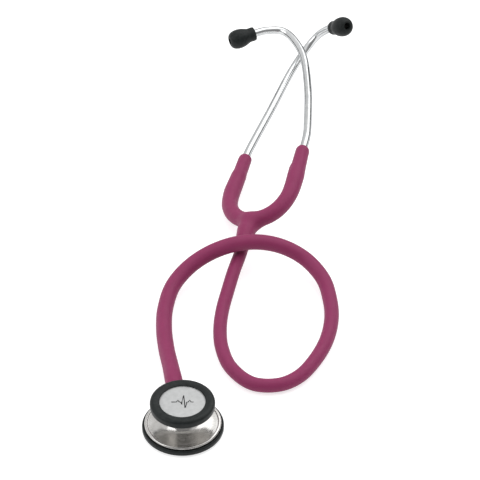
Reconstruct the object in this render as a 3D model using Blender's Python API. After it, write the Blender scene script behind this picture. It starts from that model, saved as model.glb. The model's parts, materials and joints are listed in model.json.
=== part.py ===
"""A dual-head acoustic stethoscope, lying on a table.

The chestpiece lies on its adult side, at the origin. One tube makes a loop on the table, passes over
its own start and joins the chestpiece's stem to the yoke of the headset, which lies on its back.

Frame: the origin is the centre of the adult diaphragm's outer face, +Z is up, and +Y runs from the
chestpiece towards the headset. Lengths below are in millimetres and angles in degrees; MM turns a
length into Blender's metres.
"""

import math

import bmesh
import bpy
from mathutils import Matrix, Vector

MM = 0.001
FULL_TURN = 2.0 * math.pi

# ---- chestpiece -------------------------------------------------------------------------------

GAP = 0.3                      # clearance between two pieces that fit together
STEM_HEIGHT = 10.3             # the stem's axis, above the table
STEM_AZIMUTH = 103.0           # the stem points away from the chestpiece, from +X towards +Y

DIAPHRAGM_THICKNESS = 0.5
ADULT_FACE_RADIUS = 18.3
ADULT_FLANGE_RADIUS = 20.2
ADULT_RIM_RADIUS = 21.5
ADULT_RIM_TOP = 3.8
CHILD_FACE_RADIUS = 15.6
CHILD_OPENING_RADIUS = 12.0
CHILD_FLANGE_RADIUS = 15.7
CHILD_RIM_RADIUS = 17.0
CHILD_BODY_TOP = 18.3
CHESTPIECE_TOP = 20.4
WAIST_RADIUS = 7.7
SOUND_BORE_RADIUS = 1.6

STEM_BORE_RADIUS = 3.1
STEM_RADIUS = 2.8
STEM_PASSAGE_RADIUS = 1.3
STEM_PORT_RADIUS = 1.1
STEM_END = 17.2                # the stem's outer end, from the chestpiece's centre
DETENT_HOLE_RADIUS = 1.45

# ---- headset ----------------------------------------------------------------------------------

HEADSET_AT = (38.0, 169.2, 12.7)   # between the yoke's arms
HEADSET_TURN = -12.5               # about +Z, from +Y
HEADSET_PITCH = 4.4                # the ear tubes' end is raised
HEADSET_ROLL = -23.0               # the right arm is raised
ARM_SKEW = 1.8                     # the right arm leans forward, the left arm back

HINGE_OFFSET = 7.0
HINGE_DROP = 3.0               # the crossbar sags between the arms
KNUCKLE_RADIUS = 4.7
SOCKET_RADIUS = 5.0
CHANNEL_RADIUS = 2.2
ARM_OFFSET = 21.4
ARM_STRAIGHT_FROM = 28.0
ARM_LENGTHS = {-1: 64.5, 1: 55.5}       # left and right, from the middle of the crossbar
ARM_RADIUS = 4.7
ARM_TIP_RADIUS = 4.2
CLIP_CHAMBER = (42.5, 49.0)
CLIP_CHAMBER_RADIUS = 3.6

NECK_END = -30.0
NECK_SHIFT = -0.8
NECK_RADIUS = 5.2
NECK_END_RADIUS = 3.9

EAR_TUBE_RADIUS = 2.45
EAR_TUBE_BORE = 1.9
EAR_TUBE_FROM = 47.0
EAR_TUBE_ROUTE = (
    (21.4, 66.0, 0.0),
    (20.0, 78.0, 0.3),
    (14.5, 110.5, 1.6),
    (7.2, 141.5, 5.4),
    (-1.0, 158.5, 9.4),
    (-9.6, 166.9, 13.6),
    (-18.9, 165.1, 18.1),
)
EAR_TIP_END = (-39.6, 151.5, 25.0)
EAR_TIP_AXIS = (-0.797, -0.551, 0.247)     # points out of the ear tip's mouth
EAR_TIP_LENGTH = 17.5
EAR_TUBE_END = 8.6                         # how far the ear tube stops short of the ear tip's mouth

# ---- tube -------------------------------------------------------------------------------------

TUBE_YOKE_RADIUS = 3.8
TUBE_STEM_RADIUS = 4.5
TUBE_POINTS = 79
TUBE_ROUTE = (
    (29.6, 134.6, 9.6),
    (26.3, 122.0, 8.3),
    (22.9, 107.0, 6.0),
    (20.0, 92.0, 4.4),
    (18.8, 76.0, 3.9),
    (20.0, 60.0, 3.9),
    (25.0, 44.0, 3.9),
    (36.0, 31.5, 3.9),
    (50.0, 30.0, 3.9),
    (61.5, 36.5, 4.0),
    (70.5, 49.5, 4.1),
    (77.5, 66.0, 4.2),
    (81.0, 84.0, 4.3),
    (80.8, 101.0, 4.6),
    (77.2, 118.0, 6.5),
    (67.0, 131.4, 10.5),
    (52.5, 136.2, 16.0),
    (36.0, 135.3, 19.3),
    (19.0, 131.6, 17.7),
    (3.6, 124.6, 12.5),
    (-7.6, 111.5, 7.6),
    (-12.0, 94.0, 5.0),
    (-12.3, 76.0, 4.6),
    (-10.4, 58.0, 5.2),
    (-7.8, 42.0, 7.6),
    (-5.8, 29.0, 9.8),
)

# ---- colours ----------------------------------------------------------------------------------

PLUM = (0.27, 0.052, 0.128)
BLACK = (0.018, 0.02, 0.02)
STEEL = (0.62, 0.6, 0.57)
BRIGHT = (0.72, 0.73, 0.74)
MEMBRANE = (0.55, 0.57, 0.58)
AMBER = (0.3, 0.28, 0.22)


def clear_scene():
    """Remove every object from the scene."""
    for old in list(bpy.data.objects):
        bpy.data.objects.remove(old, do_unlink=True)


def make_material(name, colour, roughness, metallic):
    """A plain Principled material."""
    material = bpy.data.materials.new(name)
    material.use_nodes = True
    shader = material.node_tree.nodes["Principled BSDF"]
    shader.inputs["Base Color"].default_value = (*colour, 1.0)
    shader.inputs["Roughness"].default_value = roughness
    shader.inputs["Metallic"].default_value = metallic
    return material


def place(obj, parent, matrix):
    """Link an object into the scene and set its place under its parent."""
    bpy.context.scene.collection.objects.link(obj)
    obj.parent = parent
    obj.matrix_local = matrix
    return obj


def empty(name, parent, matrix):
    """An empty that carries moving pieces, on their joint's axis."""
    return place(bpy.data.objects.new(name, None), parent, matrix)


def node(name, bm, parent, look, matrix=None, sharp=35.0):
    """Turn a bmesh into a named object with its own material."""
    bmesh.ops.recalc_face_normals(bm, faces=bm.faces)
    mesh = bpy.data.meshes.new(name)
    bm.to_mesh(mesh)
    bm.free()
    mesh.shade_smooth()
    mesh.set_sharp_from_angle(angle=math.radians(sharp))
    mesh.materials.append(make_material(name, *look))
    return place(bpy.data.objects.new(name, mesh), parent, matrix or Matrix())


def cut(target, bm, matrix=None):
    """Subtract a closed shape from an object; the shape stays in the scene as a hidden cutter."""
    count = len(target.modifiers)
    cutter = node(f"cutter_{target.name}_{count}", bm, target, (BLACK, 0.5, 0.0), matrix)
    cutter.hide_render = True
    cutter.display_type = "WIRE"
    modifier = target.modifiers.new(f"cut_{count}", "BOOLEAN")
    modifier.operation = "DIFFERENCE"
    modifier.solver = "EXACT"
    modifier.object = cutter


def turned(profile, segments=40):
    """A body of revolution about Z from a closed (radius, height) profile, in millimetres."""
    bm = bmesh.new()
    rings = []
    for radius, height in profile:
        if radius < 1e-6:
            rings.append([bm.verts.new((0.0, 0.0, height * MM))])
            continue
        ring = []
        for step in range(segments):
            angle = FULL_TURN * step / segments
            x = radius * math.cos(angle)
            y = radius * math.sin(angle)
            ring.append(bm.verts.new((x * MM, y * MM, height * MM)))
        rings.append(ring)
    for ring, following in zip(rings, rings[1:] + rings[:1]):
        if len(ring) == 1 and len(following) == 1:
            continue
        for step in range(segments):
            after = (step + 1) % segments
            corners = [ring[step % len(ring)], ring[after % len(ring)]]
            corners += [following[after % len(following)], following[step % len(following)]]
            unique = list(dict.fromkeys(corners))
            bm.faces.new(unique)
    return bm


def rod(radius, start, end, segments=20):
    """A closed cylinder along Z, from start to end."""
    return turned([(0.0, start), (radius, start), (radius, end), (0.0, end)], segments)


def along_path(points):
    """For each point of a path, its position, its tangent and two directions across it."""
    frames = []
    side = None
    last = len(points) - 1
    for index, point in enumerate(points):
        before = points[max(index - 1, 0)]
        after = points[min(index + 1, last)]
        tangent = (after - before).normalized()
        if side is None:
            side = tangent.cross(Vector((0.0, 0.0, 1.0))).normalized()
        side = (side - tangent * side.dot(tangent)).normalized()
        frames.append((point, side, tangent.cross(side)))
    return frames


def swept(points, sections):
    """A closed body swept along a path.

    points are the path, and sections[i] is the loop round point i, as (side, up) pairs. A section
    list that goes out along the path and back again makes an open-ended tube: see pipe.
    """
    bm = bmesh.new()
    rings = []
    for (point, side, up), section in zip(points, sections):
        ring = []
        for across, above in section:
            ring.append(bm.verts.new((point + side * across + up * above) * MM))
        rings.append(ring)
    return bm, rings


def bridge(bm, ring, following):
    """Join two rings of the same length with faces."""
    count = len(ring)
    for step in range(count):
        after = (step + 1) % count
        bm.faces.new((ring[step], ring[after], following[after], following[step]))


def circle(radius, segments):
    """A loop of (side, up) pairs on a circle."""
    angles = [FULL_TURN * step / segments for step in range(segments)]
    return [(radius * math.cos(angle), radius * math.sin(angle)) for angle in angles]


def pipe(points, radii, bores, segments=12):
    """A tube along a path, open at both ends, with its outer and inner radius at each point."""
    frames = along_path(points)
    outer = [circle(radius, segments) for radius in radii]
    inner = [circle(radius, segments) for radius in bores]
    bm, rings = swept(frames + frames[::-1], outer + inner[::-1])
    for ring, following in zip(rings, rings[1:] + rings[:1]):
        bridge(bm, ring, following)
    return bm


def solid_sweep(points, sections):
    """A solid body along a path, with flat ends."""
    bm, rings = swept(along_path(points), sections)
    for ring, following in zip(rings, rings[1:]):
        bridge(bm, ring, following)
    bm.faces.new(rings[0])
    bm.faces.new(rings[-1])
    return bm


def smooth_path(route, per_span):
    """Points of a Catmull-Rom curve through a route, evenly numbered in each span."""
    knots = [Vector(point) for point in route]
    knots = [2.0 * knots[0] - knots[1]] + knots + [2.0 * knots[-1] - knots[-2]]
    points = []
    for a, b, c, d in zip(knots, knots[1:], knots[2:], knots[3:]):
        for step in range(per_span):
            t = step / per_span
            curve = 2.0 * b + (c - a) * t + (2.0 * a - 5.0 * b + 4.0 * c - d) * t ** 2
            curve += (3.0 * b - a - 3.0 * c + d) * t ** 3
            points.append(curve * 0.5)
    points.append(knots[-2])
    return points


def even_path(route, count):
    """count points at even distances along the smooth curve through a route."""
    fine = smooth_path(route, 40)
    total = sum((b - a).length for a, b in zip(fine, fine[1:]))
    spacing = total / (count - 1)
    points = [fine[0]]
    walked = 0.0
    for a, b in zip(fine, fine[1:]):
        step = (b - a).length
        while walked + step >= spacing * len(points) and len(points) < count - 1:
            share = (spacing * len(points) - walked) / step
            points.append(a.lerp(b, share))
        walked += step
    points.append(fine[-1])
    return points


def arm_path():
    """The yoke arm's centre line from its hinge to its tip, in the headset's frame."""
    start = Vector((HINGE_OFFSET, -HINGE_DROP, 0.0))
    end = Vector((ARM_OFFSET, ARM_STRAIGHT_FROM, 0.0))
    handle_out = Vector((HINGE_OFFSET + 9.0, -0.4, 0.0))
    handle_in = Vector((ARM_OFFSET, 11.0, 0.0))
    points = []
    for step in range(11):
        t = step / 10
        rest = 1.0 - t
        points.append(start * rest ** 3 + handle_out * (3 * rest ** 2 * t)
                      + handle_in * (3 * rest * t ** 2) + end * t ** 3)
    return points


# ---- chestpiece -------------------------------------------------------------------------------


def build_chestpiece():
    """The machined body, both diaphragms with their rims, and the stem's detent."""
    turn = Matrix.Rotation(math.radians(STEM_AZIMUTH), 4, "Z")
    pivot = empty("chestpiece_pivot", None, Matrix.Translation((0, 0, STEM_HEIGHT * MM)) @ turn)
    down = Matrix.Translation((0, 0, -STEM_HEIGHT * MM))

    inner = ADULT_FLANGE_RADIUS
    body = node("chestpiece_body", turned([
        (SOUND_BORE_RADIUS, 4.2), (15.5, 3.0), (17.6, 2.0), (19.7, 2.0), (inner, 2.4),
        (inner, 4.7), (19.7, 5.2), (18.9, 4.9), (15.0, 5.1), (11.0, 6.1), (8.6, 8.0),
        (WAIST_RADIUS, 10.2), (8.2, 12.4), (10.0, 14.2), (12.8, 15.1), (15.2, 15.4),
        (CHILD_FLANGE_RADIUS, 15.8), (CHILD_FLANGE_RADIUS, 17.9), (15.3, CHILD_BODY_TOP),
        (13.2, CHILD_BODY_TOP), (11.6, 17.5), (SOUND_BORE_RADIUS, 16.2),
    ]), pivot, (STEEL, 0.25, 1.0), down)
    along_stem = Matrix.Rotation(math.radians(90.0), 4, "Y")
    to_side = Matrix.Rotation(math.radians(-90.0), 4, "X")
    at_axis = Matrix.Translation((0, 0, STEM_HEIGHT * MM))
    cut(body, rod(STEM_BORE_RADIUS, -6.0, 10.5, 24), at_axis @ along_stem)
    cut(body, rod(DETENT_HOLE_RADIUS, 1.0, 12.0, 16), at_axis @ to_side)

    lip = DIAPHRAGM_THICKNESS
    node("adult_diaphragm", turned([
        (0.0, 0.0), (ADULT_FACE_RADIUS - 0.3, 0.0), (ADULT_FACE_RADIUS, 0.2),
        (ADULT_FACE_RADIUS, 1.2), (inner - 0.1, 1.2), (inner - 0.1, 1.2 + lip),
        (0.0, 1.2 + lip),
    ]), pivot, (MEMBRANE, 0.35, 0.0), down)
    node("adult_rim", turned([
        (ADULT_FACE_RADIUS + GAP, 0.4), (20.6, 0.4), (ADULT_RIM_RADIUS, 1.3),
        (ADULT_RIM_RADIUS, 3.2), (21.1, ADULT_RIM_TOP), (inner + GAP, ADULT_RIM_TOP),
        (inner + GAP, 0.9), (ADULT_FACE_RADIUS + GAP, 0.9),
    ]), pivot, (BLACK, 0.45, 0.0), down)
    top = CHILD_BODY_TOP
    node("paediatric_diaphragm", turned([
        (0.0, top + GAP), (CHILD_FACE_RADIUS, top + GAP), (CHILD_FACE_RADIUS, top + GAP + lip),
        (0.0, top + GAP + lip),
    ]), pivot, (MEMBRANE, 0.35, 0.0), down)
    node("paediatric_rim", turned([
        (CHILD_OPENING_RADIUS, 19.4), (CHILD_OPENING_RADIUS, 19.7), (13.6, 20.2),
        (15.0, CHESTPIECE_TOP), (16.3, 20.0), (CHILD_RIM_RADIUS, 19.1), (CHILD_RIM_RADIUS, 16.4),
        (16.6, 15.8), (CHILD_FLANGE_RADIUS + GAP, 15.8), (CHILD_FLANGE_RADIUS + GAP, 19.4),
    ]), pivot, (BLACK, 0.45, 0.0), down)

    # The ball is held at the height where it rides on the stem, between its two click positions.
    ball_at = STEM_RADIUS + 0.1 + 1.2
    ball = bmesh.new()
    bmesh.ops.create_icosphere(ball, subdivisions=2, radius=1.2 * MM)
    node("detent_ball", ball, pivot, (BRIGHT, 0.2, 1.0), Matrix.Translation((0, ball_at * MM, 0)))
    turns = 2.5
    coil = []
    for step in range(31):
        angle = FULL_TURN * turns * step / 30
        coil.append(Vector((math.cos(angle), 5.6 + 0.75 * step / 30, math.sin(angle))))
    sections = [circle(0.13, 5)] * len(coil)
    node("detent_spring", solid_sweep(coil, sections), pivot, (BRIGHT, 0.3, 1.0))
    screw = node("detent_screw", rod(1.3, 6.7, 7.6, 16), pivot, (STEEL, 0.35, 1.0), to_side)
    cut(screw, rod(0.6, 7.1, 9.0, 6))


def build_stem():
    """The valve stem that the chestpiece turns on, with its seal ring."""
    turn = Matrix.Rotation(math.radians(STEM_AZIMUTH), 4, "Z")
    lie = Matrix.Rotation(math.radians(90.0), 4, "Y")
    matrix = Matrix.Translation((0, 0, STEM_HEIGHT * MM)) @ turn @ lie
    bore = STEM_PASSAGE_RADIUS
    stem = node("stem", turned([
        (0.0, -5.6), (STEM_RADIUS - 0.4, -5.6), (STEM_RADIUS, -5.2), (STEM_RADIUS, 3.4),
        (2.1, 3.4), (2.1, 4.7), (STEM_RADIUS, 4.7), (STEM_RADIUS, 12.4), (3.4, 12.5),
        (3.6, 12.8), (3.6, 14.2), (3.4, 14.5), (3.0, 14.6), (3.0, STEM_END), (bore, STEM_END),
        (bore, -2.0), (0.0, -2.0),
    ], 24), None, (BRIGHT, 0.2, 1.0), matrix)
    port = Matrix.Rotation(math.radians(-90.0), 4, "Y")
    cut(stem, rod(STEM_PORT_RADIUS, 0.0, 6.0, 16), port)
    for angle in (90.0, -90.0):
        dimple = bmesh.new()
        bmesh.ops.create_icosphere(dimple, subdivisions=2, radius=1.25 * MM)
        beside = Matrix.Rotation(math.radians(angle), 4, "Z") @ Matrix.Translation((3.5 * MM, 0, 0))
        cut(stem, dimple, beside)
    node("stem_seal_ring", turned([
        (2.25, 3.7), (2.6, 3.6), (2.95, 3.8), (2.95, 4.3), (2.6, 4.5), (2.25, 4.4),
    ], 20), None, (BLACK, 0.5, 0.0), matrix)


# ---- headset ----------------------------------------------------------------------------------


def headset_matrix():
    """Where the headset lies: its X runs across, Y up the headset, and Z towards the wearer."""
    x, y, z = HEADSET_AT
    return (Matrix.Translation((x * MM, y * MM, z * MM))
            @ Matrix.Rotation(math.radians(HEADSET_TURN), 4, "Z")
            @ Matrix.Rotation(math.radians(HEADSET_PITCH), 4, "X")
            @ Matrix.Rotation(math.radians(HEADSET_ROLL), 4, "Y"))


def mirrored(points, side):
    """Points for the right arm (side 1) or the left arm (side -1), from the arm's hinge."""
    return [Vector(((x - HINGE_OFFSET) * side, y + HINGE_DROP, z)) for x, y, z in points]


def build_neck(headset):
    """The yoke's neck, with the sound channel and a round socket for each arm."""
    path = [Vector((x, y, 0.0)) for x, y in (
        (NECK_SHIFT, NECK_END), (-1.4, -22.0), (-1.7, -15.0), (-1.1, -9.0), (0.0, 1.4))]
    radii = (NECK_END_RADIUS, 4.3, 5.2, 5.4, NECK_RADIUS)
    neck = node("yoke_neck", solid_sweep(path, [circle(radius, 20) for radius in radii]),
                headset, (PLUM, 0.42, 0.0))
    for side in (-1, 1):
        socket = Matrix.Translation((side * HINGE_OFFSET * MM, -HINGE_DROP * MM, 0))
        cut(neck, rod(SOCKET_RADIUS, -8.0, 8.0, 32), socket)
    upright = Matrix.Rotation(math.radians(-90.0), 4, "X")
    along_neck = Matrix.Translation((NECK_SHIFT * MM, 0, 0)) @ upright
    across = Matrix.Translation((0, -HINGE_DROP * MM, 0)) @ Matrix.Rotation(math.radians(90.0), 4, "Y")
    cut(neck, rod(CHANNEL_RADIUS, NECK_END - 2.0, -2.0, 14), along_neck)
    cut(neck, rod(CHANNEL_RADIUS - 0.1, -4.0, 4.0, 14), across)


def build_leaf_spring(headset):
    """The bent steel strip that runs through the yoke from one ear tube to the other."""
    right = arm_path()[2:] + [Vector((ARM_OFFSET, 37.0, 0.0)), Vector((ARM_OFFSET, 46.0, 0.0))]
    lean = math.tan(math.radians(ARM_SKEW))
    points = [Vector((-x, y, -(y + HINGE_DROP) * lean)) for x, y, z in reversed(right)]
    points += [Vector((x, -HINGE_DROP, 0.0)) for x in (-HINGE_OFFSET, 0.0, HINGE_OFFSET)]
    points += [Vector((x, y, (y + HINGE_DROP) * lean)) for x, y, z in right]
    strip = [(0.2, 1.4), (-0.2, 1.4), (-0.2, -1.4), (0.2, -1.4)]
    node("leaf_spring", solid_sweep(points, [strip] * len(points)), headset, (STEEL, 0.3, 1.0))


def build_arm(headset, side, word):
    """One yoke arm with its ear tube, the clip inside it, and the ear tip."""
    lean = Matrix.Rotation(math.radians(side * ARM_SKEW), 4, "X")
    hinge = empty(f"arm_pivot_{word}", headset,
                  Matrix.Translation((side * HINGE_OFFSET * MM, -HINGE_DROP * MM, 0)) @ lean)

    # The arm starts as a ball about its hinge, inside the neck's socket.
    points = [Vector((HINGE_OFFSET - back, -HINGE_DROP, 0.0)) for back in (3.5, 2.6, 1.4)]
    points += arm_path()
    radii = [math.sqrt(KNUCKLE_RADIUS ** 2 - back ** 2) for back in (3.5, 2.6, 1.4)]
    radii += [KNUCKLE_RADIUS] + [ARM_RADIUS] * (len(points) - 4)
    bores = [CHANNEL_RADIUS] * len(points)
    low, high = CLIP_CHAMBER
    tip = ARM_LENGTHS[side]
    ear_bore = EAR_TUBE_RADIUS + GAP
    for y, radius, bore in (
        (low - 0.8, ARM_RADIUS, CHANNEL_RADIUS), (low, ARM_RADIUS, CLIP_CHAMBER_RADIUS),
        (high, ARM_RADIUS, CLIP_CHAMBER_RADIUS), (high + 0.8, ARM_RADIUS, ear_bore),
        (tip - 3.0, ARM_TIP_RADIUS, ear_bore), (tip - 1.2, 4.0, ear_bore), (tip, 3.3, ear_bore),
    ):
        points.append(Vector((ARM_OFFSET, y, 0.0)))
        radii.append(radius)
        bores.append(bore)
    node(f"yoke_arm_{word}", pipe(mirrored(points, side), radii, bores, 14), hinge,
         (PLUM, 0.42, 0.0))

    upright = Matrix.Rotation(math.radians(-90.0), 4, "X")
    beside = Matrix.Translation(((ARM_OFFSET - HINGE_OFFSET) * side * MM, HINGE_DROP * MM, 0))
    inner = EAR_TUBE_RADIUS + GAP
    node(f"spring_clip_{word}", turned([
        (inner, 44.5), (inner + 0.5, 44.5), (inner + 0.5, 48.2), (inner, 48.2),
    ], 16), hinge, (STEEL, 0.35, 1.0), beside @ upright)

    twist = empty(f"ear_tube_pivot_{word}", hinge, beside)
    mouth = Vector(EAR_TIP_END)
    out = Vector(EAR_TIP_AXIS).normalized()
    start = Vector((ARM_OFFSET, EAR_TUBE_FROM, 0.0))
    collar = mouth - out * (EAR_TIP_LENGTH + 0.5)
    end = mouth - out * EAR_TUBE_END
    route = smooth_path([start, *EAR_TUBE_ROUTE, collar], 3)
    route = [start, Vector(EAR_TUBE_ROUTE[0])] + route[4:] + [end]
    shift = Vector(((HINGE_OFFSET - ARM_OFFSET) * side, -HINGE_DROP, 0.0))
    line = [point + shift for point in mirrored(route, side)]
    count = len(line)
    node(f"ear_tube_{word}", pipe(line, [EAR_TUBE_RADIUS] * count, [EAR_TUBE_BORE] * count),
         twist, (BRIGHT, 0.2, 1.0))

    # The ear tip and the sleeve inside it are turned about the ear tube's end.
    tip_out = Vector((out.x * side, out.y, out.z))
    tip_at = mirrored([mouth], side)[0] + shift
    seat = Matrix.Translation(tip_at * MM) @ tip_out.to_track_quat("Z", "Y").to_matrix().to_4x4()
    pull = empty(f"ear_tip_pivot_{word}", twist, seat)
    node(f"ear_tip_sleeve_{word}", turned([
        (2.6, -15.0), (3.2, -15.0), (3.4, -14.4), (3.4, -9.4), (2.6, -9.4),
    ], 16), pull, (AMBER, 0.4, 0.0))
    node(f"ear_tip_{word}", turned([
        (3.7, -EAR_TIP_LENGTH), (4.1, -EAR_TIP_LENGTH), (4.5, -16.6), (4.6, -13.6), (5.2, -11.6),
        (5.9, -9.4), (6.2, -7.0), (6.1, -4.6), (5.6, -2.5), (4.6, -0.9), (3.2, -0.1),
        (2.5, 0.0), (2.1, -0.4), (2.1, -7.6), (3.7, -8.4),
    ], 20), pull, (BLACK, 0.5, 0.0))


def build_tube():
    """The free tube from the yoke's neck, round its loop, to the chestpiece's stem."""
    matrix = headset_matrix()
    start = matrix @ Vector((NECK_SHIFT * MM, (NECK_END - GAP) * MM, 0.0)) / MM
    azimuth = math.radians(STEM_AZIMUTH)
    reach = STEM_END + GAP
    end = Vector((reach * math.cos(azimuth), reach * math.sin(azimuth), STEM_HEIGHT))
    points = even_path((start, *TUBE_ROUTE, end), TUBE_POINTS)
    curve = bpy.data.curves.new("tube", "CURVE")
    curve.dimensions = "3D"
    curve.bevel_depth = TUBE_STEM_RADIUS * MM
    curve.bevel_resolution = 3
    curve.render_resolution_u = 0
    curve.use_fill_caps = True
    curve.materials.append(make_material("tube", PLUM, 0.42, 0.0))
    spline = curve.splines.new("POLY")
    spline.points.add(len(points) - 1)
    last = len(points) - 1
    thin = TUBE_YOKE_RADIUS / TUBE_STEM_RADIUS
    for index, point in enumerate(points):
        share = min(max((index / last - 0.3) / 0.35, 0.0), 1.0)
        spline.points[index].co = (*(point * MM), 1.0)
        spline.points[index].radius = thin + (1.0 - thin) * share
    place(bpy.data.objects.new("tube", curve), None, Matrix())


def main():
    """Build the whole stethoscope."""
    clear_scene()
    build_chestpiece()
    build_stem()
    headset = empty("headset", None, headset_matrix())
    build_neck(headset)
    build_leaf_spring(headset)
    for side, word in ((-1, "left"), (1, "right")):
        build_arm(headset, side, word)
    build_tube()


main()
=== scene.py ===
"""The looks of a dual-head acoustic stethoscope lying on a white table.

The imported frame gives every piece's place. Lengths below are in millimetres, in the frame's axes:
the origin is the centre of the adult diaphragm's outer face, +Z is up, and +Y runs from the
chestpiece towards the headset. MM turns a length into Blender's metres.
"""

import json
import math

import bmesh
import bpy
import numpy as np
from mathutils import Matrix, Vector


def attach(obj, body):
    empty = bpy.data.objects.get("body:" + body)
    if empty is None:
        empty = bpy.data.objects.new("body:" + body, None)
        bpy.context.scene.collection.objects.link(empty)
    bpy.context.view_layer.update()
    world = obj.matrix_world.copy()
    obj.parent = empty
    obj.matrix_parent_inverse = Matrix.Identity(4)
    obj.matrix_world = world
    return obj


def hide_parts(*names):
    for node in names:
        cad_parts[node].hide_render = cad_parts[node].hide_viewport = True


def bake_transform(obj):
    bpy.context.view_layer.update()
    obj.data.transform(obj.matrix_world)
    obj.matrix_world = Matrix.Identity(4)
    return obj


MM = 0.001
FULL_TURN = 2.0 * math.pi

# ---- tube: the same route as the CAD cord -------------------------------------------------------

TUBE_YOKE_RADIUS = 3.8
TUBE_STEM_RADIUS = 4.5
TUBE_OVER_BARB_RADIUS = 4.75
STEM_CLEAR = 16.9              # where the tube's end lies, from the chestpiece's centre
TUBE_ROUTE = (
    (29.6, 134.6, 9.6),
    (26.3, 122.0, 8.3),
    (22.9, 107.0, 6.0),
    (20.0, 92.0, 4.4),
    (18.8, 76.0, 3.9),
    (20.0, 60.0, 3.9),
    (25.0, 44.0, 3.9),
    (36.0, 31.5, 3.9),
    (50.0, 30.0, 3.9),
    (61.5, 36.5, 4.0),
    (70.5, 49.5, 4.1),
    (77.5, 66.0, 4.2),
    (81.0, 84.0, 4.3),
    (80.8, 101.0, 4.6),
    (77.2, 118.0, 6.5),
    (67.0, 131.4, 10.5),
    (52.5, 136.2, 16.0),
    (36.0, 135.3, 19.3),
    (19.0, 131.6, 17.7),
    (3.6, 124.6, 12.5),
    (-7.6, 111.5, 7.6),
    (-12.0, 94.0, 5.0),
    (-12.3, 76.0, 4.6),
    (-10.4, 58.0, 5.2),
    (-7.8, 42.0, 7.6),
    (-5.8, 29.0, 9.8),
)

# ---- headset, in its own axes: X across, Y up the headset, Z towards the wearer -----------------

HINGE_DROP = 3.0               # how far the hinges lie below the headset's origin
ARM_OFFSET = 21.4
ARM_STRAIGHT_FROM = 28.0
ARM_LENGTHS = {-1: 64.5, 1: 55.5}
CROSSBAR_DROP = 4.2            # how far the crossbar's middle sags
NECK_END = -30.0
NECK_SHIFT = -0.8
NECK_ROUTE = ((NECK_SHIFT, -40.0, 0.0), (NECK_SHIFT, -27.0, 0.0), (-1.5, -20.0, 0.0),
              (-1.7, -13.0, 0.0), (-1.0, -7.0, 0.0))
NECK_RADII = (3.95, 3.95, 4.9, 5.5, 5.4)
LIMB_RADIUS = 4.8
LIMB_END_RADII = [4.25, 4.1]
SKIN_CELL = 0.9                # the size of the yoke skin's faces
LEAF_END = 46.0                # how far up each arm the leaf spring reaches
LEAF_HALF_WIDTH = 1.4
LEAF_HALF_THICKNESS = 0.2
EAR_TUBE_RADIUS = 2.45
EAR_TUBE_FROM = 52.0
EAR_TUBE_ROUTE = (
    (21.4, 66.0, 0.0),
    (20.0, 78.0, 0.3),
    (14.5, 110.5, 1.6),
    (7.2, 141.5, 5.4),
    (-1.0, 158.5, 9.4),
    (-9.6, 166.9, 13.6),
    (-18.9, 165.1, 18.1),
)
EAR_TIP_END = (-39.6, 151.5, 25.0)
EAR_TIP_LENGTH = 17.5
EAR_TUBE_END = 8.6

# ---- chestpiece ---------------------------------------------------------------------------------

STEM_BORE_RADIUS = 3.1
STEM_BORE = (-6.0, 10.5)       # the bore's ends, along the stem from the chestpiece's axis
DETENT_HOLE_RADIUS = 1.45
DETENT_HOLE = (1.0, 12.0)      # the hole's ends, sideways from the stem's axis
SOUND_BORE_RADIUS = 1.6
PULSE_HEIGHT = 19.13           # just above the small diaphragm
PULSE_WIDTH = 0.7
PULSE_TRACE = (
    (-5.8, 0.0), (-3.2, 0.0), (-2.4, 1.2), (-1.6, 0.0), (-1.0, 0.0), (-0.4, -1.8), (0.5, 5.0),
    (1.5, -4.4), (2.3, 0.0), (3.0, 0.0), (3.8, 1.4), (4.5, 0.0), (5.8, 0.0),
)

# ---- light and camera ---------------------------------------------------------------------------

# Each step is a height on the sky, from 0 at the bottom to 1 at the top, and its brightness.
SKY_STEPS = ((0.0, 0.05), (0.2, 0.04), (0.34, 0.7), (0.5, 0.82), (0.85, 1.25))
LIT_AT = (0.03, 0.15, 0.0)     # in metres, as are the softboxes and the camera
KEY_AT = (0.8, 0.8, 1.4)
KEY_SIZE = 2.0
KEY_POWER = 16.0
FILL_AT = (-1.1, -0.3, 1.2)
FILL_SIZE = 1.2
FILL_POWER = 8.0
CAMERA_LENS = 143.0
CAMERA_SENSOR = 36.0
CAMERA_AT = (0.0299, -0.7314, 0.6920)
CAMERA_TILT = 52.243           # degrees up from straight down


# ---- geometry -----------------------------------------------------------------------------------


def link(name, mesh, material, smooth_angle=None):
    """Put a mesh into the scene as a smooth-shaded piece with its material."""
    mesh.shade_smooth()
    if smooth_angle is not None:
        mesh.set_sharp_from_angle(angle=math.radians(smooth_angle))
    mesh.materials.append(material)
    piece = bpy.data.objects.new(name, mesh)
    bpy.context.scene.collection.objects.link(piece)
    return piece


def mesh_of(name, bm, matrix=None):
    """A mesh from a bmesh, moved by a matrix, with its faces pointing outwards."""
    if matrix is not None:
        bm.transform(matrix)
    bmesh.ops.recalc_face_normals(bm, faces=bm.faces)
    mesh = bpy.data.meshes.new(name)
    bm.to_mesh(mesh)
    bm.free()
    return mesh


def bridge(bm, ring, following):
    """Join two rings of vertices with faces; a ring of one vertex is a point on the axis."""
    count = max(len(ring), len(following))
    for step in range(count):
        after = (step + 1) % count
        corners = [ring[step % len(ring)], ring[after % len(ring)]]
        corners += [following[after % len(following)], following[step % len(following)]]
        unique = list(dict.fromkeys(corners))
        if len(unique) > 2:
            bm.faces.new(unique)


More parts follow.
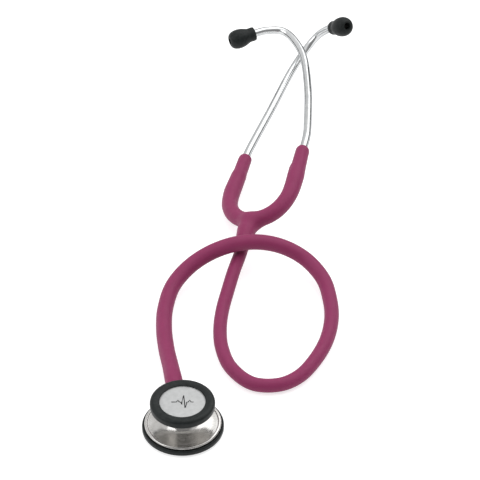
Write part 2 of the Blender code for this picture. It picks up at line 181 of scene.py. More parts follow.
def turned(profile, segments=96):
    """A closed body of revolution about Z from a (radius, height) outline, in millimetres."""
    bm = bmesh.new()
    rings = []
    for radius, height in profile:
        if radius < 1e-6:
            rings.append([bm.verts.new((0.0, 0.0, height * MM))])
            continue
        ring = []
        for step in range(segments):
            angle = FULL_TURN * step / segments
            x = radius * math.cos(angle)
            y = radius * math.sin(angle)
            ring.append(bm.verts.new((x * MM, y * MM, height * MM)))
        rings.append(ring)
    for ring, following in zip(rings, rings[1:] + rings[:1]):
        if len(ring) > 1 or len(following) > 1:
            bridge(bm, ring, following)
    return bm


def rod(radius, ends, segments):
    """A closed cylinder along Z between two heights."""
    low, high = ends
    return turned([(0.0, low), (radius, low), (radius, high), (0.0, high)], segments)


def rounded(outline, radius, steps=4):
    """A closed outline with each corner rounded, as far as its two edges have room."""
    points = [Vector(point) for point in outline]
    result = []
    for before, corner, after in zip(points[-1:] + points, points, points[1:] + points[:1]):
        into = corner - before
        out = after - corner
        on_axis = corner.x < 1e-6
        bend = into.angle(out) if into.length > 1e-6 and out.length > 1e-6 else 0.0
        if on_axis or bend < math.radians(4.0):
            result.append((corner.x, corner.y))
            continue
        reach = min(radius * math.tan(bend / 2.0), 0.45 * into.length, 0.45 * out.length)
        start = corner - into.normalized() * reach
        end = corner + out.normalized() * reach
        for step in range(steps + 1):
            t = step / steps
            point = start * (1 - t) ** 2 + corner * (2 * t * (1 - t)) + end * t ** 2
            result.append((point.x, point.y))
    return result


def smooth_path(route, per_span):
    """Points of a Catmull-Rom curve through a route, evenly numbered in each span."""
    knots = [Vector(point) for point in route]
    knots = [2.0 * knots[0] - knots[1]] + knots + [2.0 * knots[-1] - knots[-2]]
    points = []
    for a, b, c, d in zip(knots, knots[1:], knots[2:], knots[3:]):
        for step in range(per_span):
            t = step / per_span
            curve = 2.0 * b + (c - a) * t + (2.0 * a - 5.0 * b + 4.0 * c - d) * t ** 2
            curve += (3.0 * b - a - 3.0 * c + d) * t ** 3
            points.append(curve * 0.5)
    points.append(knots[-2])
    return points


def even_path(route, count):
    """count points at even distances along the smooth curve through a route."""
    fine = smooth_path(route, 40)
    total = sum((b - a).length for a, b in zip(fine, fine[1:]))
    spacing = total / (count - 1)
    points = [fine[0]]
    walked = 0.0
    for a, b in zip(fine, fine[1:]):
        step = (b - a).length
        while walked + step >= spacing * len(points) and len(points) < count - 1:
            share = (spacing * len(points) - walked) / step
            points.append(a.lerp(b, share))
        walked += step
    points.append(fine[-1])
    return points, total


def swept(points, radii, segments):
    """A closed round body along a path, with one radius for each point, all in millimetres."""
    bm = bmesh.new()
    rings = []
    side = None
    last = len(points) - 1
    for index, (point, radius) in enumerate(zip(points, radii)):
        tangent = (points[min(index + 1, last)] - points[max(index - 1, 0)]).normalized()
        if side is None:
            side = tangent.cross(Vector((0.0, 0.0, 1.0))).normalized()
        side = (side - tangent * side.dot(tangent)).normalized()
        up = tangent.cross(side)
        ring = []
        for step in range(segments):
            angle = FULL_TURN * step / segments
            offset = side * math.cos(angle) + up * math.sin(angle)
            ring.append(bm.verts.new((point + offset * radius) * MM))
        rings.append(ring)
    for ring, following in zip(rings, rings[1:]):
        bridge(bm, ring, following)
    bm.faces.new(rings[0])
    bm.faces.new(rings[-1])
    return bm


def eased(value, low, high):
    """0 below low, 1 above high, and a smooth step between them."""
    share = min(max((value - low) / (high - low), 0.0), 1.0)
    return share * share * (3.0 - 2.0 * share)


def cut_out(piece, bm, matrix):
    """Cut a closed shape out of a piece for good."""
    cutter = bpy.data.objects.new("cutter", mesh_of("cutter", bm, matrix))
    bpy.context.scene.collection.objects.link(cutter)
    modifier = piece.modifiers.new("cut", "BOOLEAN")
    modifier.operation = "DIFFERENCE"
    modifier.solver = "EXACT"
    modifier.object = cutter
    bpy.context.view_layer.update()
    seen = piece.evaluated_get(bpy.context.evaluated_depsgraph_get())
    piece.data = bpy.data.meshes.new_from_object(seen)
    piece.modifiers.clear()
    bpy.data.objects.remove(cutter)


# ---- materials ----------------------------------------------------------------------------------


class Look:
    """A procedural material: one Principled shader fed by textures in the object's own metres."""

    def __init__(self, name, roughness, metallic=0.0):
        self.material = bpy.data.materials.new(name)
        self.material.use_nodes = True
        self.nodes = self.material.node_tree.nodes
        self.links = self.material.node_tree.links
        self.shader = self.nodes["Principled BSDF"]
        self.shader.inputs["Roughness"].default_value = roughness
        self.shader.inputs["Metallic"].default_value = metallic
        self.place = self.nodes.new("ShaderNodeTexCoord")
        self.height = None

    def noise(self, grain_mm, detail=2.0, stretch=(1.0, 1.0, 1.0)):
        """Noise whose blotches are about grain_mm across; a stretch under 1 draws it out."""
        mapping = self.nodes.new("ShaderNodeMapping")
        mapping.inputs["Scale"].default_value = stretch
        self.links.new(self.place.outputs["Object"], mapping.inputs["Vector"])
        noise = self.nodes.new("ShaderNodeTexNoise")
        noise.inputs["Scale"].default_value = 1.0 / (grain_mm * MM)
        noise.inputs["Detail"].default_value = detail
        self.links.new(mapping.outputs["Vector"], noise.inputs["Vector"])
        return noise.outputs["Fac"]

    def turning(self, pitch_mm):
        """Fine rings about the object's Z axis, a pitch apart, as a lathe leaves them."""
        wave = self.nodes.new("ShaderNodeTexWave")
        wave.wave_type = "RINGS"
        wave.rings_direction = "Z"
        wave.inputs["Scale"].default_value = math.pi / (10.0 * pitch_mm * MM)
        wave.inputs["Distortion"].default_value = 0.6
        self.links.new(self.place.outputs["Object"], wave.inputs["Vector"])
        return wave.outputs["Fac"]

    def remap(self, value, low, high):
        """A value between low and high from a texture between 0.3 and 0.7."""
        spread = self.nodes.new("ShaderNodeMapRange")
        spread.inputs["From Min"].default_value = 0.3
        spread.inputs["From Max"].default_value = 0.7
        spread.inputs["To Min"].default_value = low
        spread.inputs["To Max"].default_value = high
        self.links.new(value, spread.inputs["Value"])
        return spread.outputs["Result"]

    def colour(self, value, dark, light):
        """Colour that wanders between two shades with a texture."""
        ramp = self.nodes.new("ShaderNodeValToRGB")
        ramp.color_ramp.elements[0].position = 0.3
        ramp.color_ramp.elements[0].color = (*dark, 1.0)
        ramp.color_ramp.elements[1].position = 0.7
        ramp.color_ramp.elements[1].color = (*light, 1.0)
        self.links.new(value, ramp.inputs["Fac"])
        self.links.new(ramp.outputs["Color"], self.shader.inputs["Base Color"])
        return self

    def rough(self, value, low, high):
        """Roughness that wanders with a texture."""
        self.links.new(self.remap(value, low, high), self.shader.inputs["Roughness"])
        return self

    def bump(self, value, depth_mm, strength=0.5):
        """A relief of the given depth, on top of any bump already there."""
        bump = self.nodes.new("ShaderNodeBump")
        bump.inputs["Strength"].default_value = strength
        bump.inputs["Distance"].default_value = depth_mm * MM
        self.links.new(value, bump.inputs["Height"])
        if self.height is not None:
            self.links.new(self.height, bump.inputs["Normal"])
        self.height = bump.outputs["Normal"]
        self.links.new(self.height, self.shader.inputs["Normal"])
        return self

    def set(self, **values):
        """Plain values on the shader's own sockets."""
        for name, value in values.items():
            self.shader.inputs[name.replace("_", " ")].default_value = value
        return self


def pvc(name):
    """Satin flexible PVC, plum-coloured."""
    look = Look(name, 0.56)
    look.colour(look.noise(9.0, 3.0), (0.215, 0.024, 0.086), (0.228, 0.027, 0.093))
    look.rough(look.noise(2.5, 3.0), 0.52, 0.6)
    look.bump(look.noise(0.5, 2.0), 0.03, 0.25)
    look.set(Subsurface_Weight=0.03, Subsurface_Radius=(0.003, 0.0008, 0.0012),
             Specular_IOR_Level=0.22)
    return look.material


def turned_steel(name, dark=(0.47, 0.46, 0.445), light=(0.55, 0.54, 0.525)):
    """Stainless steel with a fine lathe finish."""
    look = Look(name, 0.2, 1.0)
    look.colour(look.noise(3.0, 3.0), dark, light)
    look.rough(look.noise(1.2, 4.0), 0.16, 0.24)
    look.bump(look.turning(0.25), 0.004, 0.35)
    return look.material


def bright_metal(name):
    """A bright polished tube or pin, with faint drawing marks."""
    look = Look(name, 0.12, 1.0)
    look.colour(look.noise(4.0, 2.0), (0.56, 0.57, 0.575), (0.64, 0.65, 0.655))
    look.rough(look.noise(0.8, 4.0), 0.1, 0.17)
    look.bump(look.noise(0.35, 3.0), 0.003, 0.3)
    look.set(Specular_Tint=(0.35, 0.36, 0.37, 1.0))
    return look.material


def soft_black(name, roughness=0.5):
    """Matt black rubber or silicone with a fine moulded grain and a little dust."""
    look = Look(name, roughness)
    look.colour(look.noise(1.6, 5.0), (0.006, 0.008, 0.008), (0.014, 0.017, 0.017))
    look.rough(look.noise(0.7, 4.0), roughness - 0.05, roughness + 0.06)
    look.bump(look.noise(0.22, 3.0), 0.012, 0.4)
    look.set(Specular_IOR_Level=0.18)
    return look.material


def membrane(name):
    """A satin glass-epoxy diaphragm."""
    look = Look(name, 0.35)
    look.colour(look.noise(2.2, 4.0), (0.38, 0.385, 0.385), (0.44, 0.445, 0.445))
    look.rough(look.noise(0.5, 3.0), 0.28, 0.38)
    look.bump(look.noise(0.16, 2.0), 0.004, 0.4)
    look.set(Coat_Weight=0.2, Coat_Roughness=0.25)
    return look.material


# ---- the frame ----------------------------------------------------------------------------------

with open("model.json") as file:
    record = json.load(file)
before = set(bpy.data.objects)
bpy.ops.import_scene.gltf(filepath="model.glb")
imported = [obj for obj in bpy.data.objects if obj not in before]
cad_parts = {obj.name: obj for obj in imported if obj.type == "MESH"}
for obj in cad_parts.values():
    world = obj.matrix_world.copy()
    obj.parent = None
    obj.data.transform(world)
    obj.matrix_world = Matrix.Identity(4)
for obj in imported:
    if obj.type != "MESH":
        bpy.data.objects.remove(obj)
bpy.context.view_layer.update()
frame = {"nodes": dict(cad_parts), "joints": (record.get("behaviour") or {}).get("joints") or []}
JOINTS = {joint["name"]: joint for joint in frame["joints"]}


def pivot_of(joint):
    """A joint's point and axis, in the row frame, in metres."""
    return Vector(JOINTS[joint].get("pos_m", (0, 0, 0))), Vector(JOINTS[joint]["axis"]).normalized()


def headset_matrix():
    """The headset's axes from its two hinges: X from the left one to the right one."""
    left, left_axis = pivot_of("arm_left_flex")
    right, right_axis = pivot_of("arm_right_flex")
    across = (right - left).normalized()
    towards = (left_axis - right_axis).normalized()
    towards = (towards - across * towards.dot(across)).normalized()
    along = towards.cross(across)
    middle = (left + right) / 2.0
    axes = Matrix((across, along, towards)).transposed().to_4x4()
    raised = Matrix.Translation((0.0, HINGE_DROP * MM, 0.0))
    return Matrix.Translation(middle) @ axes @ raised, (right - left).length / 2.0 / MM


HEADSET, HINGE_OFFSET = headset_matrix()
STEM_AT, STEM_ALONG = pivot_of("chestpiece_turn")


# ---- tube ---------------------------------------------------------------------------------------


def tube_radius(walked, total):
    """The tube's radius: thicker towards the chestpiece, and stretched over the stem's barb."""
    share = min(max((walked / total - 0.3) / 0.35, 0.0), 1.0)
    radius = TUBE_YOKE_RADIUS + (TUBE_STEM_RADIUS - TUBE_YOKE_RADIUS) * share
    radius += (TUBE_OVER_BARB_RADIUS - TUBE_STEM_RADIUS) * eased(walked, total - 26.0, total - 10.0)
    from_end = total - walked
    if from_end < 1.2:
        radius -= 0.5 * (1.0 - from_end / 1.2) ** 2
    return radius


def build_tube():
    """The free tube, one smooth body from inside the yoke's neck to the stem's collar."""
    start = HEADSET @ Vector((NECK_SHIFT * MM, (NECK_END + 1.0) * MM, 0.0)) / MM
    end = STEM_AT / MM + STEM_ALONG * STEM_CLEAR
    points, total = even_path((start, *TUBE_ROUTE, end), 200)
    spacing = total / (len(points) - 1)
    radii = [tube_radius(index * spacing, total) for index in range(len(points))]
    bm = swept(points, radii, 36)
    tube = link("free_tube", mesh_of("free_tube", bm), pvc("tube_pvc"), 50.0)
    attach(tube, "headset_root")
    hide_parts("tube")


build_tube()


# ---- yoke ---------------------------------------------------------------------------------------


def arm_route(side, length):
    """An arm's centre line as for a right arm, from the yoke's middle to a length up it.

    Each side has its own curve, drawn after the photograph's yoke.
    """
    start = Vector((0.0, -CROSSBAR_DROP, 0.0))
    end = Vector((ARM_OFFSET + 0.4, ARM_STRAIGHT_FROM, 0.0))
    handle_out = Vector((5.5, -CROSSBAR_DROP, 0.0)) if side < 0 else Vector((12.5, -5.2, 0.0))
    handle_in = Vector((21.8, 5.5, 0.0)) if side < 0 else Vector((22.4, 2.5, 0.0))
    points = []
    for step in range(21):
        t = step / 20
        rest = 1.0 - t
        points.append(start * rest ** 3 + handle_out * (3 * rest ** 2 * t)
                      + handle_in * (3 * rest * t ** 2) + end * t ** 3)
    points.append(Vector((ARM_OFFSET, ARM_STRAIGHT_FROM + 22.0, 0.0)))
    points.append(Vector((ARM_OFFSET, length, 0.0)))
    return points


def limb_distance(points, route, radii):
    """Each point's distance from a round limb along a route whose radius changes along it."""
    best = np.full(len(points), 1e9)
    for a, b, radius_a, radius_b in zip(route, route[1:], radii, radii[1:]):
        start = np.array(a)
        along = np.array(b) - start
        share = np.clip((points - start) @ along / (along @ along), 0.0, 1.0)
        nearest = start + share[:, None] * along
        radius = radius_a + (radius_b - radius_a) * share
        distance = np.linalg.norm(points - nearest, axis=1) - radius
        best = np.minimum(best, distance)
    return best


def soft_union(first, second, blend):
    """Two shapes' distances joined with a fillet."""
    near = np.maximum(blend - np.abs(first - second), 0.0) / blend
    return np.minimum(first, second) - near * near * blend / 4.0


def soft_trim(first, second, blend):
    """Where both shapes are, with a rounded edge."""
    return -soft_union(-first, -second, blend)


def leaned(route, side):
    """A right arm's route on either side, leaning out of the headset's plane as the arm does."""
    axis = pivot_of("arm_right_flex")[1] * -1.0 if side > 0 else pivot_of("arm_left_flex")[1]
    local = HEADSET.to_3x3().transposed() @ axis
    slope = -local.y / local.z
    return [Vector((point.x * side, point.y, (point.y + HINGE_DROP) * slope)) for point in route]


def yoke_distance(points):
    """How far each point is outside the moulded yoke, in the headset's millimetres."""
    arms = np.full(len(points), 1e9)
    for side in (-1, 1):
        route = leaned(arm_route(side, ARM_LENGTHS[side] + 6.0), side)
        radii = [LIMB_RADIUS] * (len(route) - 2) + LIMB_END_RADII
        arm = limb_distance(points, route, radii)
        shoulder = ARM_LENGTHS[side] - 20.0
        bow = ARM_OFFSET + 0.6 if side < 0 else ARM_OFFSET - 0.2
        inward = [Vector((x, y, 0.0)) for x, y in (
            (ARM_OFFSET - 1.2, 15.0), (bow, 30.0), (bow - 0.5, shoulder))]
        arm = soft_union(arm, limb_distance(points, leaned(inward, side), (3.6, 4.7, 4.3)), 1.6)
        arm = soft_trim(arm, points[:, 1] - ARM_LENGTHS[side], 3.4)
        arms = np.minimum(arms, arm)
    neck = limb_distance(points, NECK_ROUTE, NECK_RADII)
    return soft_trim(soft_union(arms, neck, 5.0), NECK_END - points[:, 1], 1.0)


def yoke_gradient(points):
    """The direction in which yoke_distance grows."""
    step = 0.02
    slopes = []
    for axis in range(3):
        shift = np.zeros(3)
        shift[axis] = step
        slopes.append(yoke_distance(points + shift) - yoke_distance(points - shift))
    gradient = np.stack(slopes, axis=1)
    return gradient / np.linalg.norm(gradient, axis=1)[:, None]


def yoke_blank():
    """A rough closed mesh of the yoke in even cells: three sticks, joined and remeshed."""
    joined = bmesh.new()
    sticks = [([Vector((NECK_SHIFT, NECK_END, 0.0)), Vector((0.0, -HINGE_DROP, 0.0))], 4.6)]
    for side in (-1, 1):
        sticks.append((leaned(arm_route(side, ARM_LENGTHS[side]), side), 4.6))
    for route, radius in sticks:
        stick = swept(route, [radius] * len(route), 16)
        part = bpy.data.meshes.new("stick")
        stick.to_mesh(part)
        stick.free()
        joined.from_mesh(part)
        bpy.data.meshes.remove(part)
    blank = bpy.data.objects.new("blank", mesh_of("blank", joined))
    bpy.context.scene.collection.objects.link(blank)
    remesh = blank.modifiers.new("cells", "REMESH")
    remesh.mode = "VOXEL"
    remesh.voxel_size = SKIN_CELL * MM
    bpy.context.view_layer.update()
    seen = blank.evaluated_get(bpy.context.evaluated_depsgraph_get())
    mesh = bpy.data.meshes.new_from_object(seen)
    bpy.data.objects.remove(blank)
    return mesh


def bend_with_arm(piece):
    """Bake the placement of a piece of one side's yoke into its mesh."""
    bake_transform(piece)


def build_yoke():
    """The moulded yoke as two soft halves, one on each side of its middle."""
    mesh = yoke_blank()
    bm = bmesh.new()
    bm.from_mesh(mesh)
    for _ in range(4):
        bmesh.ops.smooth_vert(bm, verts=bm.verts, factor=0.5,
                              use_axis_x=True, use_axis_y=True, use_axis_z=True)
        points = np.array([vert.co for vert in bm.verts]) / MM
        for _ in range(3):
            points -= yoke_gradient(points) * yoke_distance(points)[:, None]
        for vert, point in zip(bm.verts, points):
            vert.co = Vector(point) * MM
    material = pvc("yoke_pvc")
    for side, word in ((-1, "left"), (1, "right")):
        half = bm.copy()
        everything = half.verts[:] + half.edges[:] + half.faces[:]
        bmesh.ops.bisect_plane(half, geom=everything, dist=1e-7, plane_co=(0, 0, 0),
                               plane_no=(side, 0, 0), clear_inner=True)
        points = np.array([vert.co for vert in half.verts]) / MM
        turn = np.array(HEADSET.to_3x3())
        normals = yoke_gradient(points) @ turn.T
        name = f"yoke_skin_{word}"
        half.transform(HEADSET)
        skin_mesh = bpy.data.meshes.new(name)
        half.to_mesh(skin_mesh)
        half.free()
        skin = link(name, skin_mesh, material)
        skin_mesh.normals_split_custom_set_from_vertices(normals)
        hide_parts(f"yoke_arm_{word}", "yoke_neck")
        bend_with_arm(skin)
    bm.free()


def build_leaf_spring():
    """The steel strip inside the yoke, as two halves, one along each arm."""
    material = turned_steel("leaf_steel")
    upright = Vector((0.0, 0.0, LEAF_HALF_WIDTH))
    for side, word in ((-1, "left"), (1, "right")):
        route = arm_route(side, 0.0)[:-2] + [Vector((ARM_OFFSET, LEAF_END, 0.0))]
        route = leaned(route, side)
        last = len(route) - 1
        bm = bmesh.new()
        rings = []
        for index, point in enumerate(route):
            along = (route[min(index + 1, last)] - route[max(index - 1, 0)]).normalized()
            across = along.cross(upright).normalized() * LEAF_HALF_THICKNESS
            corners = (across + upright, across - upright, -across - upright, -across + upright)
            rings.append([bm.verts.new((point + corner) * MM) for corner in corners])
        for ring, following in zip(rings, rings[1:]):
            bridge(bm, ring, following)
        bm.faces.new(rings[0])
        bm.faces.new(rings[-1])
        name = f"leaf_strip_{word}"
        strip = link(name, mesh_of(name, bm, HEADSET), material, 30.0)
        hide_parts("leaf_spring")
        bend_with_arm(strip)


build_yoke()
build_leaf_spring()


# ---- ear tubes and ear tips ---------------------------------------------------------------------


def arm_matrix(side, word):
    """The arm's own axes: the headset's, leaned about its hinge."""
    axis = pivot_of(f"arm_{word}_flex")[1]
    axis = axis if side < 0 else -axis
    across = HEADSET.to_3x3().col[0]
    along = axis.cross(across)
    hinge = pivot_of(f"arm_{word}_flex")[0]
    axes = Matrix((across, along, axis)).transposed().to_4x4()
    from_hinge = Matrix.Translation((-side * HINGE_OFFSET * MM, HINGE_DROP * MM, 0.0))
    return Matrix.Translation(hinge) @ axes @ from_hinge


def build_ear_side(side, word):
    """One ear tube with its ear tip."""
    place = arm_matrix(side, word)
    out = pivot_of(f"ear_tip_{word}_pull")[1]
    tip = Vector((EAR_TIP_END[0] * side, *EAR_TIP_END[1:]))
    mouth = place @ (tip * MM)
    direction = (place.to_3x3().inverted() @ out).normalized()
    route = [Vector((x * side, y, z)) for x, y, z in EAR_TUBE_ROUTE]
    start = Vector((ARM_OFFSET * side, EAR_TUBE_FROM, 0.0))
    collar = tip - direction * (EAR_TIP_LENGTH + 0.5)
    end = tip - direction * EAR_TUBE_END
    path, total = even_path((start, *route, collar, end), 110)
    bm = swept(path, [EAR_TUBE_RADIUS] * len(path), 32)
    name = f"ear_tube_skin_{word}"
    piece = link(name, mesh_of(name, bm, place), bright_metal(f"ear_tube_metal_{word}"), 50.0)
    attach(piece, f"ear_tube_{word}")
    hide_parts(f"ear_tube_{word}")

    outside = smooth_path([
        (4.0, -17.4, 0.0), (4.45, -16.9, 0.0), (4.55, -15.2, 0.0), (4.5, -13.6, 0.0),
        (4.7, -12.6, 0.0), (5.2, -11.2, 0.0), (5.8, -9.4, 0.0), (6.15, -7.4, 0.0),
        (6.2, -5.6, 0.0), (6.0, -3.8, 0.0), (5.4, -2.1, 0.0), (4.5, -0.9, 0.0),
        (3.4, -0.2, 0.0), (2.7, -0.05, 0.0), (2.25, -0.35, 0.0), (2.1, -1.2, 0.0),
    ], 4)
    profile = [(point.x, point.y) for point in outside]
    profile += [(2.1, -7.6), (3.7, -8.4), (3.7, -15.6), (2.6, -16.2), (2.6, -17.3), (3.2, -17.5)]
    spin = out.to_track_quat("Z", "Y").to_matrix().to_4x4()
    name = f"ear_tip_skin_{word}"
    soft = link(name, mesh_of(name, turned(profile, 64)), soft_black(f"ear_tip_silicone_{word}"))
    soft.matrix_world = Matrix.Translation(mouth) @ spin
    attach(soft, f"ear_tip_{word}")
    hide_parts(f"ear_tip_{word}")


for side, word in ((-1, "left"), (1, "right")):
    build_ear_side(side, word)


# ---- chestpiece ---------------------------------------------------------------------------------


def chestpiece_piece(name, profile, material, node):
    """A turned piece of the chestpiece, on its axis, standing for a CAD node."""
    piece = link(name, mesh_of(name, turned(profile, 128)), material, 40.0)
    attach(piece, "chestpiece")
    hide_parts(node)


def build_chestpiece():
    """The turned body, both rims, both diaphragms, and a printed pulse trace on the small one."""
    flare = smooth_path([
        (18.2, 4.8, 0.0), (15.0, 5.0, 0.0), (11.6, 5.8, 0.0), (9.2, 7.3, 0.0), (8.0, 9.2, 0.0),
        (7.8, 11.2, 0.0), (8.7, 13.2, 0.0), (10.6, 14.5, 0.0), (12.9, 15.1, 0.0),
        (15.2, 15.35, 0.0),
    ], 5)
    outline = rounded([(SOUND_BORE_RADIUS, 4.2), (15.5, 3.0), (17.6, 2.0), (19.7, 2.0),
                       (20.2, 2.4), (20.2, 4.7), (19.8, 5.2), (18.8, 5.3), (18.5, 4.8)], 0.3)
    outline += [(point.x, point.y) for point in flare]
    outline += rounded([(15.7, 15.8), (15.7, 17.9), (15.3, 18.3), (13.2, 18.3), (11.6, 17.5),
                        (SOUND_BORE_RADIUS, 16.2)], 0.2)
    body = link("chestpiece_steel", mesh_of("chestpiece_steel", turned(outline, 128)),
                turned_steel("chestpiece_steel"), 40.0)
    to_stem = STEM_ALONG.to_track_quat("Z", "Y").to_matrix().to_4x4()
    sideways = Vector((0.0, 0.0, 1.0)).cross(STEM_ALONG).to_track_quat("Z", "Y")
    at = Matrix.Translation(STEM_AT)
    cut_out(body, rod(STEM_BORE_RADIUS, STEM_BORE, 48), at @ to_stem)
    hole = rod(DETENT_HOLE_RADIUS, DETENT_HOLE, 32)
    cut_out(body, hole, at @ sideways.to_matrix().to_4x4())
    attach(body, "chestpiece")
    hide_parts("chestpiece_body")

    chestpiece_piece("adult_rim_soft", rounded([
        (18.6, 0.4), (20.6, 0.4), (21.5, 1.3), (21.5, 3.2), (21.1, 3.8), (20.45, 3.8),
        (20.45, 0.9), (18.6, 0.9),
    ], 0.45), soft_black("adult_rim_rubber", 0.42), "adult_rim")
    rim_top = smooth_path([
        (12.0, 19.65, 0.0), (13.0, 20.1, 0.0), (14.4, 20.35, 0.0), (15.7, 20.25, 0.0),
        (16.6, 19.7, 0.0), (17.0, 18.9, 0.0), (17.0, 17.3, 0.0), (16.95, 16.4, 0.0),
        (16.6, 15.9, 0.0),
    ], 4)
    chestpiece_piece("paediatric_rim_soft", [(12.0, 19.4)]
                     + [(point.x, point.y) for point in rim_top]
                     + [(16.05, 15.85), (16.05, 19.4)],
                     soft_black("paediatric_rim_rubber", 0.42), "paediatric_rim")
    chestpiece_piece("adult_membrane", rounded([
        (0.0, 0.0), (18.0, 0.0), (18.3, 0.2), (18.3, 1.2), (20.1, 1.2), (20.1, 1.7), (0.0, 1.7),
    ], 0.1), membrane("adult_membrane"), "adult_diaphragm")
    chestpiece_piece("paediatric_membrane", rounded([
        (0.0, 18.6), (15.6, 18.6), (15.6, 19.1), (0.0, 19.1),
    ], 0.1), membrane("paediatric_membrane"), "paediatric_diaphragm")
    build_pulse_print()


def ribbon(bm, points, width, height):
    """A flat printed line through points on the small diaphragm, in millimetres."""
    left = []
    right = []
    last = len(points) - 1
    for index, point in enumerate(points):
        along = (points[min(index + 1, last)] - points[max(index - 1, 0)]).normalized()
        across = Vector((-along.y, along.x, 0.0)) * (width / 2.0)
        lift = Vector((0.0, 0.0, height))
        left.append(bm.verts.new((point + across + lift) * MM))
        right.append(bm.verts.new((point - across + lift) * MM))
    for index in range(last):
        bm.faces.new((right[index], right[index + 1], left[index + 1], left[index]))


def build_pulse_print():
    """A generic printed mark: one small pulse trace and nothing round it."""
    bm = bmesh.new()
    ribbon(bm, [Vector((x, y, 0.0)) for x, y in PULSE_TRACE], PULSE_WIDTH, PULSE_HEIGHT)
    mesh = bpy.data.meshes.new("pulse_print")
    bm.to_mesh(mesh)
    bm.free()
    ink = Look("print_ink", 0.4)
    ink.colour(ink.noise(0.6, 3.0), (0.006, 0.007, 0.007), (0.014, 0.015, 0.016))
    ink.bump(ink.noise(0.12, 2.0), 0.004, 0.3)
    mark = link("pulse_print", mesh, ink.material)
    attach(mark, "chestpiece")


build_chestpiece()


# ---- CAD nodes that keep their shape ------------------------------------------------------------


def refinish(node, material):
    """Give a CAD node a finished material."""
    slots = frame["nodes"][node].material_slots
    for slot in slots:
        slot.material = material


refinish("stem", bright_metal("stem_metal"))
refinish("stem_seal_ring", soft_black("seal_rubber"))
refinish("detent_screw", turned_steel("detent_steel"))
refinish("detent_ball", bright_metal("ball_steel"))
refinish("detent_spring", bright_metal("spring_wire"))
for word in ("left", "right"):
    refinish(f"spring_clip_{word}", turned_steel(f"clip_steel_{word}"))
    sleeve = Look(f"sleeve_plastic_{word}", 0.4)
    sleeve.colour(sleeve.noise(1.5, 3.0), (0.26, 0.24, 0.19), (0.33, 0.3, 0.24))
    sleeve.bump(sleeve.noise(0.3, 2.0), 0.01, 0.3)
    refinish(f"ear_tip_sleeve_{word}", sleeve.material)


# ---- floor, light and camera --------------------------------------------------------------------


def build_floor():
    """A wide white table top, faintly lit from within like a light table."""
    bm = bmesh.new()
    bmesh.ops.create_grid(bm, x_segments=2, y_segments=2, size=2.5)
    floor_look = Look("table_white", 0.6)
    floor_look.colour(floor_look.noise(60.0, 2.0), (0.49, 0.49, 0.49), (0.51, 0.51, 0.51))
    floor_look.set(Emission_Color=(1.0, 1.0, 1.0, 1.0), Emission_Strength=0.68)
    floor = link("table_top", mesh_of("table_top", bm), floor_look.material)
    floor.location.z = -0.1 * MM


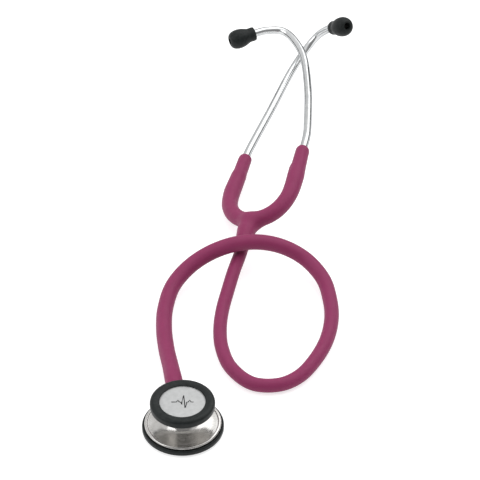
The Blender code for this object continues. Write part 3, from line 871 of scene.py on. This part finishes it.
def build_world():
    """A white tent with dark gaps in front and low on its right, for the metal to mirror."""
    world = bpy.data.worlds.new("studio")
    bpy.context.scene.world = world
    world.use_nodes = True
    nodes = world.node_tree.nodes
    links = world.node_tree.links
    background = nodes["Background"]
    direction = nodes.new("ShaderNodeTexCoord")
    parts = nodes.new("ShaderNodeSeparateXYZ")
    links.new(direction.outputs["Generated"], parts.inputs["Vector"])
    height = nodes.new("ShaderNodeValToRGB")
    steps = height.color_ramp.elements
    steps[0].position = SKY_STEPS[0][0]
    steps[1].position = SKY_STEPS[-1][0]
    for position, _ in SKY_STEPS[1:-1]:
        steps.new(position)
    for step, (_, grey) in zip(steps, SKY_STEPS):
        step.color = (grey, grey, grey, 1.0)
    links.new(parts.outputs["Z"], height.inputs["Fac"])
    sides = nodes.new("ShaderNodeMapRange")
    sides.inputs["From Min"].default_value = -0.6
    sides.inputs["From Max"].default_value = 0.3
    sides.inputs["To Min"].default_value = 1.0
    sides.inputs["To Max"].default_value = 0.0
    links.new(parts.outputs["X"], sides.inputs["Value"])
    mix = nodes.new("ShaderNodeMix")
    mix.data_type = "RGBA"
    mix.inputs["B"].default_value = (0.95, 0.95, 0.95, 1.0)
    links.new(sides.outputs["Result"], mix.inputs["Factor"])
    links.new(height.outputs["Color"], mix.inputs["A"])
    front = nodes.new("ShaderNodeMapRange")
    front.inputs["From Min"].default_value = -0.25
    front.inputs["From Max"].default_value = -0.6
    links.new(parts.outputs["Y"], front.inputs["Value"])
    dim = nodes.new("ShaderNodeMix")
    dim.data_type = "RGBA"
    dim.inputs["B"].default_value = (0.34, 0.34, 0.34, 1.0)
    links.new(front.outputs["Result"], dim.inputs["Factor"])
    links.new(mix.outputs["Result"], dim.inputs["A"])
    links.new(dim.outputs["Result"], background.inputs["Color"])
    background.inputs["Strength"].default_value = 1.0
    plain = nodes.new("ShaderNodeBackground")
    plain.inputs["Color"].default_value = (0.9, 0.9, 0.9, 1.0)
    seen = nodes.new("ShaderNodeLightPath")
    choice = nodes.new("ShaderNodeMixShader")
    links.new(seen.outputs["Is Camera Ray"], choice.inputs["Fac"])
    links.new(background.outputs["Background"], choice.inputs[1])
    links.new(plain.outputs["Background"], choice.inputs[2])
    links.new(choice.outputs["Shader"], nodes["World Output"].inputs["Surface"])


def softbox(name, at, towards, size, power):
    """A square area light at a point, facing another."""
    light = bpy.data.lights.new(name, "AREA")
    light.shape = "SQUARE"
    light.size = size
    light.energy = power
    lamp = bpy.data.objects.new(name, light)
    lamp.location = at
    lamp.rotation_euler = (Vector(towards) - Vector(at)).to_track_quat("-Z", "Y").to_euler()
    bpy.context.scene.collection.objects.link(lamp)


def build_camera():
    """A long lens in front of the chestpiece, looking down at the whole object."""
    camera = bpy.data.objects.new("camera", bpy.data.cameras.new("camera"))
    camera.data.lens = CAMERA_LENS
    camera.data.sensor_width = CAMERA_SENSOR
    camera.data.clip_start = 0.05
    camera.location = CAMERA_AT
    camera.rotation_euler = (math.radians(CAMERA_TILT), 0.0, 0.0)
    bpy.context.scene.collection.objects.link(camera)
    bpy.context.scene.camera = camera


build_floor()
build_world()
softbox("key", KEY_AT, LIT_AT, KEY_SIZE, KEY_POWER)
softbox("fill", FILL_AT, LIT_AT, FILL_SIZE, FILL_POWER)
build_camera()
bpy.context.scene.view_settings.view_transform = "Standard"
